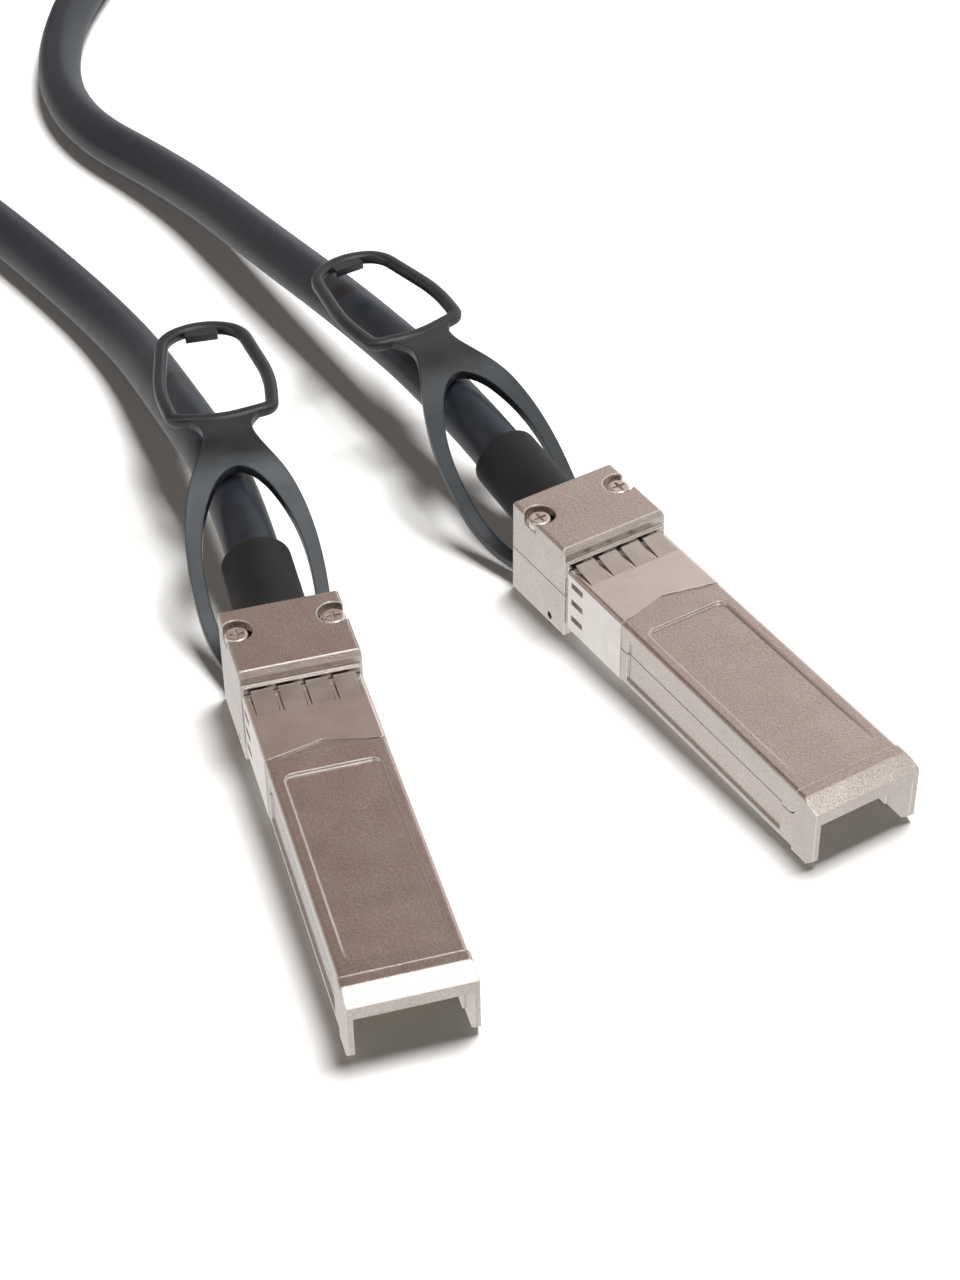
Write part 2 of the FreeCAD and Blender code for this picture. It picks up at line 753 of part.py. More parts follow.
def tab_sheet():
    """The tab's sheet in side view: level in the block, rising beside the boot, level again."""
    low, high = tab_foot_height, tab_foot_height + tab_rise
    start, end = tab_bend_start + tab_ease, tab_rise_end
    half = tab_thickness / 2
    angle = math.atan2(tab_rise, end - start)
    radius = tab_ease / math.tan(angle / 2)
    knots = [(foot_start - 1, low), (start, low), (end, high), (loop_end + 3, high)]

    def line_of(offset):
        turns = []
        for i, way in ((1, 1), (2, -1)):
            y, z = knots[i]
            reach = radius * math.tan(angle / 2)
            before = (y - reach, z) if way > 0 else (y - reach * math.cos(angle), z - reach * math.sin(angle))
            after = (y + reach * math.cos(angle), z + reach * math.sin(angle)) if way > 0 else (y + reach, z)
            centre = (before[0], before[1] + radius) if way > 0 else (after[0], after[1] - radius)
            grown = radius - way * offset
            turns.append((centre, grown, way))
        return turns

    def arc_points(turn):
        (y, z), grown, way = turn
        angles = (0, angle / 2, angle)
        if way > 0:
            return [V(-through / 2, y + grown * math.sin(a), z - grown * math.cos(a)) for a in angles]
        return [V(-through / 2, y - grown * math.sin(a), z + grown * math.cos(a))
                for a in reversed(angles)]

    def long_edges(offset):
        first, second = (arc_points(turn) for turn in line_of(offset))
        begin = V(-through / 2, knots[0][0], low + offset)
        finish = V(-through / 2, knots[3][0], high + offset)
        return [Part.LineSegment(begin, first[0]), Part.Arc(*first),
                Part.LineSegment(first[2], second[0]), Part.Arc(*second),
                Part.LineSegment(second[2], finish)], begin, finish

    top, top_begin, top_finish = long_edges(half)
    under, under_begin, under_finish = long_edges(-half)
    edges = [line.toShape() for line in top + under]
    edges.append(Part.LineSegment(top_finish, under_finish).toShape())
    edges.append(Part.LineSegment(under_begin, top_begin).toShape())
    wire = Part.Wire(Part.__sortEdges__(edges))
    return Part.Face(wire).extrude(V(through, 0, 0))


def pull_tab(sway):
    """Bent sheet cut to its plan, with the rounded rim of the finger loop and its nub."""
    strap = tab_plan(sway)
    strap.translate(V(0, 0, -through / 4))
    strap = strap.common(tab_sheet())
    level = tab_foot_height + tab_rise
    outer = loop_outline(sway)
    inner = outer.makeOffset2D(-loop_band)
    rim = Part.Face(outer).extrude(V(0, 0, loop_bead)).cut(
        Part.Face(inner).extrude(V(0, 0, loop_bead)))
    rim = rim.makeFillet(0.4 * loop_bead, rim.Edges)
    rim.translate(V(0, 0, level - loop_bead / 2))
    far = loop_end - 0.6 * loop_band
    near = loop_end - loop_band - nub_depth
    corners = [(-nub_width / 2, near), (nub_width / 2, near), (nub_width / 2, far),
               (-nub_width / 2, far)]
    points = [swayed(x, y, sway) for x, y in corners]
    nub = Part.Face(Part.makePolygon(points + points[:1])).extrude(V(0, 0, tab_thickness))
    nub.translate(V(0, 0, level - tab_thickness / 2))
    clean = Part.Face(inner).extrude(V(0, 0, through))
    clean.translate(V(0, 0, level - through / 2))
    return join([strap.cut(clean), rim, nub])


def boot_path(start):
    """Middle line of the boot and of the cable in it, and the direction in which it leaves."""
    turn = math.radians(boot_lift)
    bend = block_end + boot_straight
    radius = boot_bend_radius

    def on_bend(angle):
        return V(0, bend + radius * math.sin(angle), cable_axis + radius * (1 - math.cos(angle)))

    after = on_bend(turn)
    way = V(0, math.cos(turn), math.sin(turn))
    end = after + way * (boot_end - after.y)
    edges = [
        Part.LineSegment(V(0, start, cable_axis), on_bend(0)).toShape(),
        Part.Arc(on_bend(0), on_bend(turn / 2), after).toShape(),
        Part.LineSegment(after, end).toShape(),
    ]
    return Part.Wire(edges), end, way


def tube_along(path, radius):
    first = path.OrderedEdges[0]
    start = first.valueAt(first.FirstParameter)
    way = first.tangentAt(first.FirstParameter)
    section = Part.Wire(Part.makeCircle(radius, start, way))
    return path.makePipeShell([section], True, False)


def strain_boot():
    """Moulded boot: a flange held between the shells and a round sleeve over the cable."""
    path, end, _ = boot_path(block_inner_end - boot_flange_thickness)
    sleeve = tube_along(path, boot_radius)
    rear = edges_where(sleeve, lambda b: b.Center.distanceToPoint(end) < 1.0)
    sleeve = sleeve.makeFillet(boot_round, rear)
    inside = wide_box(2 * boot_radius, block_inner_end - boot_flange_thickness, block_inner_end,
                      -through, through)
    gap = boot_clearance
    trim = wide_box(post_gap - 2 * boot_flange_gap, block_inner_end - boot_flange_thickness,
                    block_inner_end, throat_low + gap, block_top - block_roof - gap)
    sleeve = sleeve.cut(inside).fuse(sleeve.common(inside).common(trim)).fuse(trim)
    bore = tube_along(boot_path(jacket_start)[0], cable_radius)
    return sleeve.removeSplitter().cut(bore)


def jacket_end():
    """The cable's jacket inside the block and the boot."""
    return tube_along(boot_path(jacket_start)[0], cable_radius)


def crimp_ferrule():
    start = jacket_start + ferrule_setback
    ring = Part.makeCylinder(ferrule_radius, ferrule_length, V(0, start, cable_axis),
                             V(0, 1, 0))
    core = Part.makeCylinder(cable_radius, through, V(0, start - 1, cable_axis), V(0, 1, 0))
    return ring.cut(core)


def wire_pairs():
    """Two shielded pairs: each core drops from the cable to its solder land on the card."""
    low = card_top + wire_radius
    cores = []
    for pair in (-1, 1):
        for side in (-1, 1):
            x_far = pair * pair_pitch / 2 + side * wire_pitch / 2
            x_near = pair * pair_pitch_in_jacket / 2 + side * wire_pitch / 2
            points = [V(x_near, jacket_start, cable_axis),
                      V(x_near, jacket_start - pair_straight, cable_axis),
                      V(x_far, card_end + pair_slope_end, low), V(x_far, card_end - pair_land, low)]
            path = eased_path(points)
            cores.append(tube_along(path, wire_radius))
    return Part.makeCompound(cores)


def eased_path(points):
    """Straight runs joined by tangent arcs, each as large as its two runs allow."""
    edges, last = [], points[0]
    for i in range(1, len(points) - 1):
        point = points[i]
        back, ahead = points[i - 1].sub(point), points[i + 1].sub(point)
        reach = bend_share * min(back.Length, ahead.Length)
        turn = math.pi - back.getAngle(ahead)
        radius = reach / math.tan(turn / 2)
        back.normalize()
        ahead.normalize()
        first, final = point + back * reach, point + ahead * reach
        middle_way = (back + ahead).normalize()
        middle = point + middle_way * (radius / math.cos(turn / 2) - radius)
        edges.append(Part.LineSegment(last, first).toShape())
        edges.append(Part.Arc(first, middle, final).toShape())
        last = final
    edges.append(Part.LineSegment(last, points[-1]).toShape())
    return Part.Wire(edges)


def bend_radii(points):
    radii = []
    for i in range(1, len(points) - 1):
        back, ahead = points[i - 1].sub(points[i]), points[i + 1].sub(points[i])
        turn = math.pi - back.getAngle(ahead)
        radii.append(bend_share * min(back.Length, ahead.Length) / math.tan(turn / 2))
    return radii


def paddle_card():
    card = wide_box(card_width, card_setback, card_end, card_underside, card_top)
    front = edges_where(card, lambda b: along_x(b) and b.YMax < card_setback + 0.01)
    return card.makeChamfer(card_chamfer, front)


def contact_pads():
    """Gold lands on both faces of the card's front edge."""
    pads = []
    start = card_setback + pad_setback
    for i in range(pad_count):
        x = (i - (pad_count - 1) / 2) * pad_pitch
        for low in (card_top, card_underside - pad_thickness):
            pads.append(box(x - pad_width / 2, x + pad_width / 2, start, start + pad_length, low,
                            low + pad_thickness))
    return Part.makeCompound(pads)


def card_parts():
    """Memory chip and the coupling capacitors of the receive pairs."""
    half = memory_size / 2
    middle = card_setback + memory_setback
    parts = [box(-half, half, middle - half, middle + half, card_top, card_top + memory_height)]
    front = card_setback + capacitor_setback
    for x in capacitor_places:
        parts.append(box(x - capacitor_width / 2, x + capacitor_width / 2, front,
                         front + capacitor_length, card_top, card_top + capacitor_width))
    return Part.makeCompound(parts)


def laid(shape, plug):
    """Lays a piece of a plug on the floor: tilted on its nose and block, turned and moved."""
    tilt = FreeCAD.Rotation(V(1, 0, 0), plug_tilt)
    turn = FreeCAD.Rotation(V(0, 0, 1), plug["turn"])
    place = FreeCAD.Placement(V(plug["x"], plug["y"], plug_lift), turn.multiply(tilt))
    moved = shape.copy()
    moved.Placement = place.multiply(moved.Placement)
    return moved


def laid_point(point, plug):
    return laid(Part.Vertex(point), plug).Point


def cable_run(plug, route, angle):
    """Points of a run of free cable, from a boot to the place where it enters the coil."""
    _, end, way = boot_path(jacket_start)
    outer = coil_middle_radius + (coil_columns - 1) * cable_radius
    reach = outer - coil_bite
    x = coil_x + reach * math.cos(math.radians(angle))
    y = coil_y + reach * math.sin(math.radians(angle))
    straight = [laid_point(end, plug), laid_point(end + way * cable_lead, plug)]
    return straight + [V(*p) for p in route] + [V(x, y, route[-1][2])]


def coil_outline(grow):
    """Rounded outline of the wound turns, standing on the strap, grown by the strap's wall."""
    half = coil_columns * cable_radius + grow
    low = tie_thickness - grow
    high = tie_thickness + 2 * coil_rows * cable_radius + grow
    near, far = coil_middle_radius - half, coil_middle_radius + half
    points = [V(near, 0, low), V(far, 0, low), V(far, 0, high), V(near, 0, high)]
    return Part.Face(rounded_wire(points, [coil_round + grow] * 4))


def coil_and_tie():
    """Outer form of the wound cable, and the strap that holds its turns together."""
    ring = coil_outline(0).revolve(V(0, 0, 0), V(0, 0, 1), 360)
    strap = coil_outline(tie_thickness).cut(coil_outline(0)).Faces[0]
    turn = math.degrees(tie_width / coil_middle_radius)
    tie = strap.revolve(V(0, 0, 0), V(0, 0, 1), turn)
    tie.rotate(V(0, 0, 0), V(0, 0, 1), tie_angle - turn / 2)
    for shape in (ring, tie):
        shape.translate(V(coil_x, coil_y, 0))
    return ring, tie


def plug_pieces(sway):
    lower, cover = shells()
    return {
        "lower_shell": lower,
        "cover_shell": cover,
        "emi_collar": emi_collar(),
        "cover_screws": cover_screws(),
        "latch_rocker": latch_rocker(),
        "latch_pin": latch_pin(),
        "return_springs": return_springs(),
        "pull_tab": pull_tab(sway),
        "strain_boot": strain_boot(),
        "jacket_end": jacket_end(),
        "crimp_ferrule": crimp_ferrule(),
        "wire_pairs": wire_pairs(),
        "paddle_card": paddle_card(),
        "contact_pads": contact_pads(),
        "card_parts": card_parts(),
    }


def main():
    os.makedirs("parts", exist_ok=True)
    pieces = {}
    for letter, plug in plugs.items():
        for name, shape in plug_pieces(plug["sway"]).items():
            pieces[f"{name}_{letter}"] = laid(shape, plug)
    runs = {
        "cable_run_a": cable_run(plugs["a"], route_a, coil_entry_angle),
        "cable_run_b": cable_run(plugs["b"], route_b, coil_exit_angle),
    }
    for name, points in runs.items():
        path = eased_path(points)
        tube = tube_along(path, cable_radius)
        expected = math.pi * cable_radius**2 * path.Length
        radii = ", ".join(f"{r:.0f}" for r in bend_radii(points))
        print(f"{name}: {path.Length:.1f} mm, bend radii {radii}, volume ratio "
              f"{tube.Volume / expected:.4f}")
        pieces[name] = tube
    pieces["cable_coil"], pieces["coil_tie"] = coil_and_tie()
    for name, shape in pieces.items():
        good = shape.isValid() and all(s.Volume > 0 for s in shape.Solids)
        print(f"{name}: {len(shape.Solids)} solid(s), {shape.Volume:.1f} mm3, "
              f"{'valid' if good else 'INVALID'}")
        shape.exportStep(f"parts/{name}.step")


main()
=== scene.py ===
import math

import bpy
import numpy as np
from mathutils import Matrix, Vector


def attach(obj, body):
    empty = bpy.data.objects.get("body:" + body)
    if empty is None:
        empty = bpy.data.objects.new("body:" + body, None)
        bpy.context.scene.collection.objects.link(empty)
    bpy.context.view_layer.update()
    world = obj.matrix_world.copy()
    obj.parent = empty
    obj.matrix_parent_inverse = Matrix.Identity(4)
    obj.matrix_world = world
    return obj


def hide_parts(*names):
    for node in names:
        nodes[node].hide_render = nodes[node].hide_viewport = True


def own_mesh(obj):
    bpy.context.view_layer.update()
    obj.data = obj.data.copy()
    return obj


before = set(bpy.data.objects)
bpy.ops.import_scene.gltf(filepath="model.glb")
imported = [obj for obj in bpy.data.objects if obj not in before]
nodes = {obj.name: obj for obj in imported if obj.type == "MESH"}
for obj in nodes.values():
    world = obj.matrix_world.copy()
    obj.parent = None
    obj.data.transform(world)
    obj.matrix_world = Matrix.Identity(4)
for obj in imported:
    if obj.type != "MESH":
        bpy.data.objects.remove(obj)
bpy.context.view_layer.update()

scene = bpy.context.scene


class Signal:
    # one output socket of a material; plain sums on it add Math nodes
    def __init__(self, tree, socket=None):
        self.tree = tree
        self.socket = socket

    def node(self, kind, settings=None, values=None, output=0):
        # settings are set first, then each value or link goes to the socket of that name or number
        made = self.tree.nodes.new(kind)
        for key, setting in (settings or {}).items():
            if key == "stops":
                while len(made.color_ramp.elements) < len(setting):
                    made.color_ramp.elements.new(0.5)
                for element, (place, shade) in zip(made.color_ramp.elements, setting):
                    element.position = place
                    element.color = shade
            else:
                setattr(made, key, setting)
        for key, value in (values or {}).items():
            if isinstance(value, Signal):
                self.tree.links.new(value.socket, made.inputs[key])
            else:
                made.inputs[key].default_value = value
        return Signal(self.tree, made.outputs[output] if len(made.outputs) else None)

    def beside(self, name):
        # another output of the node that this one comes from
        return Signal(self.tree, self.socket.node.outputs[name])

    def maths(self, operation, *values):
        return self.node("ShaderNodeMath", {"operation": operation}, dict(enumerate(values)))

    def vectors(self, operation, first, second):
        # a number worked out from two vectors
        ends = {0: first, 1: second}
        return self.node("ShaderNodeVectorMath", {"operation": operation}, ends, output="Value")

    def __add__(self, other):
        return self.maths("ADD", self, other)

    def __sub__(self, other):
        return self.maths("SUBTRACT", self, other)

    def __mul__(self, other):
        return self.maths("MULTIPLY", self, other)

    def __radd__(self, other):
        return self.maths("ADD", other, self)

    def __rsub__(self, other):
        return self.maths("SUBTRACT", other, self)

    def __rmul__(self, other):
        return self.maths("MULTIPLY", other, self)

    def spread(self, low, high, newLow=0.0, newHigh=1.0):
        # an even change from low to high, held outside them
        ends = {0: self, 1: low, 2: high, 3: newLow, 4: newHigh}
        return self.node("ShaderNodeMapRange", {"clamp": True}, ends)

    def blend(self, first, second):
        # colour from first to second as this goes from 0 to 1
        return self.node("ShaderNodeMix", {"data_type": "RGBA"}, {0: self, 6: first, 7: second}, output=2)

    def times(self, other):
        # colour by colour
        settings = {"data_type": "RGBA", "blend_type": "MULTIPLY"}
        return self.node("ShaderNodeMix", settings, {0: 1.0, 6: self, 7: other}, output=2)

    def noise(self, scale, detail=2.0, roughness=0.5):
        values = {"Vector": self, "Scale": scale, "Detail": detail, "Roughness": roughness}
        return self.node("ShaderNodeTexNoise", {}, values)

    def cells(self, scale):
        return self.node("ShaderNodeTexVoronoi", {}, {"Vector": self, "Scale": scale})

    def bump(self, strength, distance, normal=None):
        values = {"Height": self, "Strength": strength, "Distance": distance}
        if normal is not None:
            values["Normal"] = normal
        return self.node("ShaderNodeBump", {}, values)


def colour(red, green, blue):
    # screen colour from 0 to 255 as the linear colour that a shader takes
    def linear(level):
        level /= 255
        return level / 12.92 if level <= 0.04045 else ((level + 0.055) / 1.055) ** 2.4
    return (linear(red), linear(green), linear(blue), 1.0)


def startMaterial(name):
    material = bpy.data.materials.new(name)
    material.use_nodes = True
    material.node_tree.nodes.clear()
    return material, Signal(material.node_tree)


def endMaterial(tree, values):
    shader = tree.node("ShaderNodeBsdfPrincipled", {}, values)
    tree.node("ShaderNodeOutputMaterial", {}, {"Surface": shader})


def place(tree):
    return tree.node("ShaderNodeTexCoord", output="Object")


def softEdge(tree, radius):
    return tree.node("ShaderNodeBevel", {"samples": 4}, {"Radius": radius})


# In the dictionaries below a noise is its features per metre, its detail and at times its roughness, and a
# bump is its strength and its depth in metres.
usual = (0.3, 0.7)  # most of a noise lies between these
strong = (0.35, 0.65)

nickel = {
    "light": colour(234, 228, 222), "dark": colour(190, 180, 173), "stain": colour(110, 95, 86),
    # the edge colour is partly rubbed plating and partly a painted highlight; the groove colour is a painted
    # shade
    "rim": colour(255, 252, 248), "grooveShade": colour(70, 60, 54),
    "grain": (4200.0, 3.0, 0.6), "fine": (13020.0, 1.0), "clouds": (210.0, 3.0), "pinsPerMetre": 1500.0,
    "bump": (0.6, 0.00005), "edge": 0.0003, "grooveShadeReach": 0.0004, "roughness": (0.21, 0.25),
    # where each mark begins and ends in the signal that it comes from
    "pinSpan": (0.0, 0.07), "pinClouds": (0.52, 0.62), "rimSpan": (0.84, 0.97), "grooveShadeSpan": (0.2, 0.5),
    "pinStain": 0.7, "pinRoughness": 0.3,
    # shares of clouds, grain and fine grain in the tone, and of grain, fine grain and pins in the height
    "toneShares": (0.2, 0.45, 0.35), "heightShares": (0.7, 0.3, 0.5),
}


def nickelCasting(name):
    # plated zinc: an orange-peel grain, slow faint clouds in its gloss, a few dark pin marks, painted shade
    # in the grooves, and near-white edges that are partly rubbed plating and partly a painted highlight
    material, tree = startMaterial(name)
    at = place(tree)
    grain, fine, cloud = (at.noise(*nickel[key]) for key in ("grain", "fine", "clouds"))
    pins = at.cells(nickel["pinsPerMetre"]).spread(*nickel["pinSpan"], 1.0, 0.0)
    pins = pins * cloud.spread(*nickel["pinClouds"])
    soft = softEdge(tree, nickel["edge"])
    flat = tree.node("ShaderNodeNewGeometry", output="True Normal")
    rim = tree.vectors("DOT_PRODUCT", soft, flat)  # 1 on a flat face, less near an edge
    # ambient occlusion, used for a painted shade in grooves and recesses
    reach = {"Distance": nickel["grooveShadeReach"]}
    grooveShade = tree.node("ShaderNodeAmbientOcclusion", {"samples": 6}, reach, output="AO")
    slow, mid, quick = nickel["toneShares"]
    shade = cloud.spread(*usual) * slow + grain.spread(*usual) * mid + fine.spread(*usual) * quick
    tone = shade.blend(nickel["dark"], nickel["light"])
    tone = (pins * nickel["pinStain"]).blend(tone, nickel["stain"])
    # painted highlight and wear: the edges turn near-white, partly rubbed plating, partly a painted highlight
    tone = rim.spread(*nickel["rimSpan"]).blend(nickel["rim"], tone)
    # painted shade: darker where the surface is occluded, in grooves, recesses and corners
    tone = grooveShade.spread(*nickel["grooveShadeSpan"]).blend(nickel["grooveShade"], tone)
    hills, ripples, pits = nickel["heightShares"]
    height = grain * hills + fine * ripples - pins * pits
    endMaterial(tree, {
        "Base Color": tone,
        "Metallic": 1.0,
        "Roughness": cloud.spread(*usual, *nickel["roughness"]) + pins * nickel["pinRoughness"],
        "Normal": height.bump(*nickel["bump"], soft),
    })
    return material


sheet = {
    "dark": colour(238, 233, 228), "light": colour(245, 241, 237), "clouds": (330.0, 2.0),
    "rolling": (9000.0, 500.0, 9000.0), "bump": (0.3, 0.000006), "edge": 0.0001, "roughness": (0.22, 0.26),
}


def sheetNickel(name):
    # folded spring sheet: smoother and brighter than the casting, with faint rolling lines
    material, tree = startMaterial(name)
    at = place(tree)
    lines = at.node("ShaderNodeMapping", {}, {"Vector": at, "Scale": sheet["rolling"]}).noise(1.0)
    cloud = at.noise(*sheet["clouds"])
    endMaterial(tree, {
        "Base Color": cloud.spread(*strong).blend(sheet["dark"], sheet["light"]),
        "Metallic": 1.0,
        "Roughness": cloud.spread(*usual, *sheet["roughness"]),
        "Normal": lines.bump(*sheet["bump"], softEdge(tree, sheet["edge"])),
    })
    return material


turned = {
    "marks": (6000.0, 2.0), "clouds": (900.0, 2.0), "bump": (0.4, 0.000008), "edge": 0.0001, "change": 0.06,
}


def turnedSteel(name, light, dark, roughness):
    # small turned or wound parts with fine marks
    material, tree = startMaterial(name)
    at = place(tree)
    marks = at.noise(*turned["marks"])
    endMaterial(tree, {
        "Base Color": at.noise(*turned["clouds"]).spread(*strong).blend(dark, light),
        "Metallic": 1.0,
        "Roughness": marks.spread(*usual, roughness - turned["change"], roughness + turned["change"]),
        "Normal": marks.bump(*turned["bump"], softEdge(tree, turned["edge"])),
    })
    return material


coolGloss = (0.9, 0.955, 1.0, 1.0)  # tint of the gloss on the tabs and the cable
nylon = {
    "dark": colour(20, 23, 25), "light": colour(31, 34, 37), "grain": (7000.0, 2.0), "clouds": (220.0, 3.0),
    "toneSpan": (0.35, 0.7), "bump": (0.5, 0.00002), "edge": 0.0003, "roughness": (0.26, 0.38), "index": 1.72,
}


def mouldedNylon(name):
    # black nylon with a fine spark-eroded grain and paler rubbed places
    material, tree = startMaterial(name)
    at = place(tree)
    cloud = at.noise(*nylon["clouds"])
    endMaterial(tree, {
        "Base Color": cloud.spread(*nylon["toneSpan"]).blend(nylon["dark"], nylon["light"]),
        "Roughness": cloud.spread(*usual, *nylon["roughness"]),
        "IOR": nylon["index"],
        "Specular Tint": coolGloss,
        "Normal": at.noise(*nylon["grain"]).bump(*nylon["bump"], softEdge(tree, nylon["edge"])),
    })
    return material


rubber = {
    "dark": colour(16, 16, 17), "light": colour(23, 23, 24), "grain": (5200.0, 2.0), "clouds": (300.0, 2.0),
    "bump": (0.4, 0.00002), "roughness": (0.55, 0.68),
}


def bootRubber(name):
    # matt shrunk sleeve
    material, tree = startMaterial(name)
    at = place(tree)
    cloud = at.noise(*rubber["clouds"])
    endMaterial(tree, {
        "Base Color": cloud.spread(*strong).blend(rubber["dark"], rubber["light"]),
        "Roughness": cloud.spread(*usual, *rubber["roughness"]),
        "Normal": at.noise(*rubber["grain"]).bump(*rubber["bump"]),
    })
    return material


skin = {
    "dark": colour(22, 27, 34), "light": colour(30, 36, 45), "toneSpan": (0.35, 0.72),
    "grain": (5200.0, 2.0), "scuffs": (420.0, 4.0, 0.65), "swells": (75.0, 1.0), "heightShares": (0.9, 0.06),
    "bump": (0.5, 0.00025), "roughness": (0.38, 0.46), "index": 1.62,
}


def cableJacket(name):
    # extruded jacket: a satin skin with slow shallow swells where the pairs twist under it
    material, tree = startMaterial(name)
    at = place(tree)
    grain, scuff, swell = (at.noise(*skin[key]) for key in ("grain", "scuffs", "swells"))
    swells, grains = skin["heightShares"]
    endMaterial(tree, {
        "Base Color": scuff.spread(*skin["toneSpan"]).blend(skin["dark"], skin["light"]),
        "Roughness": scuff.spread(*usual, *skin["roughness"]),
        "IOR": skin["index"],
        "Specular Tint": coolGloss,
        "Normal": (swell * swells + grain * grains).bump(*skin["bump"]),
    })
    return material


plain = {"clouds": (700.0, 2.0), "grain": (5000.0, 2.0), "bump": (0.3, 0.00001), "change": 0.06}


def plainPlastic(name, light, dark, roughness):
    # hidden or half hidden pieces: board, chips, foil
    material, tree = startMaterial(name)
    at = place(tree)
    cloud = at.noise(*plain["clouds"])
    endMaterial(tree, {
        "Base Color": cloud.spread(*strong).blend(dark, light),
        "Roughness": cloud.spread(*usual, roughness - plain["change"], roughness + plain["change"]),
        "Normal": at.noise(*plain["grain"]).bump(*plain["bump"]),
    })
    return material


plate = {"clouds": (1500.0, 2.0), "grain": (6000.0, 2.0), "bump": (0.3, 0.000008), "roughness": (0.22, 0.34)}


def plating(name, light, dark):
    # gold pads and the brass ferrule
    material, tree = startMaterial(name)
    at = place(tree)
    cloud = at.noise(*plate["clouds"])
    endMaterial(tree, {
        "Base Color": cloud.spread(*strong).blend(dark, light),
        "Metallic": 1.0,
        "Roughness": cloud.spread(*usual, *plate["roughness"]),
        "Normal": at.noise(*plate["grain"]).bump(*plate["bump"]),
    })
    return material


felt = {
    "light": colour(46, 46, 48), "dark": colour(22, 22, 24), "loopsPerMetre": 2600.0, "loopSpan": (0.0, 0.6),
    "bump": (0.8, 0.00025), "roughness": 0.85, "sheen": 0.25,
}


def tieFabric(name):
    # hook-and-loop strap: a felt of short loops
    material, tree = startMaterial(name)
    loops = place(tree).cells(felt["loopsPerMetre"])
    endMaterial(tree, {
        "Base Color": loops.spread(*felt["loopSpan"]).blend(felt["light"], felt["dark"]),
        "Roughness": felt["roughness"],
        "Sheen Weight": felt["sheen"],
        "Normal": (1.0 - loops).bump(*felt["bump"]),
    })
    return material


casting = nickelCasting("nickelCasting")
collarSheet = sheetNickel("nickelSheet")
screwSteel = turnedSteel("screwNickel", colour(250, 246, 240), colour(228, 220, 212), 0.28)
latchZinc = turnedSteel("latchZinc", colour(196, 192, 188), colour(168, 164, 160), 0.36)
# painted shade: the pin is coloured darker than bare steel so that the hole it sits in reads dark
shadedPinSteel = turnedSteel("shadedPinSteel", colour(100, 97, 94), colour(74, 71, 68), 0.4)
springSteel = turnedSteel("springSteel", colour(178, 178, 182), colour(146, 146, 152), 0.34)
tabNylon = mouldedNylon("tabNylon")
boot = bootRubber("bootRubber")
jacket = cableJacket("cableJacket")
ferruleBrass = plating("ferruleBrass", colour(206, 186, 130), colour(178, 156, 102))
coreFoil = plainPlastic("coreFoil", colour(214, 214, 218), colour(188, 188, 194), 0.4)
cardGreen = plainPlastic("cardGreen", colour(26, 98, 58), colour(18, 78, 46), 0.42)
goldPads = plating("goldPads", colour(236, 200, 112), colour(214, 172, 86))
chipBlack = plainPlastic("chipBlack", colour(40, 40, 42), colour(26, 26, 28), 0.55)
strapFabric = tieFabric("strapFabric")
print("materials made")

finishOf = {
    "lower_shell": casting, "cover_shell": casting, "emi_collar": collarSheet, "cover_screws": screwSteel,
    "latch_rocker": latchZinc, "latch_pin": shadedPinSteel, "return_springs": springSteel, "pull_tab": tabNylon,
    "strain_boot": boot, "jacket_end": jacket, "crimp_ferrule": ferruleBrass, "wire_pairs": coreFoil,
    "paddle_card": cardGreen, "contact_pads": goldPads, "card_parts": chipBlack,
}
for name, node in nodes.items():
    finish = finishOf.get(name[:-2])  # the last two letters tell the plug
    if finish:
        node.data.materials.clear()
        node.data.materials.append(finish)
print("frame pieces finished")

pull = {"travel": 0.002, "joints": {"a": "tab_a_pull", "b": "tab_b_pull"},
        "backward": {"a": (0.0, 0.99958, 0.02908), "b": (-0.28139, 0.95915, 0.02908)}}


def packSprings(letter):
    # the two return springs get a mesh of their own; their point furthest back along the tab's pull is found
    # but not used
    springs = nodes["return_springs_" + letter]
    backward = np.array(pull["backward"][letter])
    points = np.array([springs.matrix_world @ vertex.co for vertex in springs.data.vertices])
    along = points @ backward
    behind = points[along.argmax()]
    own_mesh(springs)


for letter in pull["joints"]:
    packSprings(letter)

cable = {
    "diameter": 0.0065,
    "length": 1.0,
    # from plug A's boot to the coil
    "routeA": [(0.0, 0.07147, 0.00915), (0.0, 0.08425, 0.01155), (-0.0024, 0.107, 0.0085),
               (-0.0046, 0.131, 0.0036), (-0.0138, 0.158, 0.0034), (-0.028, 0.192, 0.0033),
               (-0.041, 0.226, 0.0033), (-0.048, 0.254, 0.0033)],
    # from plug B's boot to the coil
    "routeB": [(0.03338, 0.08278, 0.00915), (0.02978, 0.09504, 0.01155), (0.0236, 0.118, 0.0104),
               (0.0166, 0.143, 0.0076), (0.0102, 0.168, 0.0044), (-0.003, 0.194, 0.0034),
               (0.001, 0.222, 0.0034), (0.015, 0.247, 0.0046)],
    "coilX": -0.012, "coilY": 0.290, "outerTurn": 0.04025, "innerTurn": 0.03375,
    "bottomLayer": 0.00405, "topLayer": 0.01055,
    "entryAngle": 190.0, "exitAngle": -740.0, "stepAngle": 15.0,
    # degrees turned since the entry between which the cable goes in, out, up and down
    "goesIn": (320, 400), "goesOut": (730, 900), "goesUp": (660, 740), "goesDown": (890, 935),
    "resolution": 10, "roundness": 7,
}


def eased(value, low, high):
    # 0 up to low, 1 from high, and a smooth rise between them
    share = min(max((value - low) / (high - low), 0.0), 1.0)
    return share * share * (3 - 2 * share)


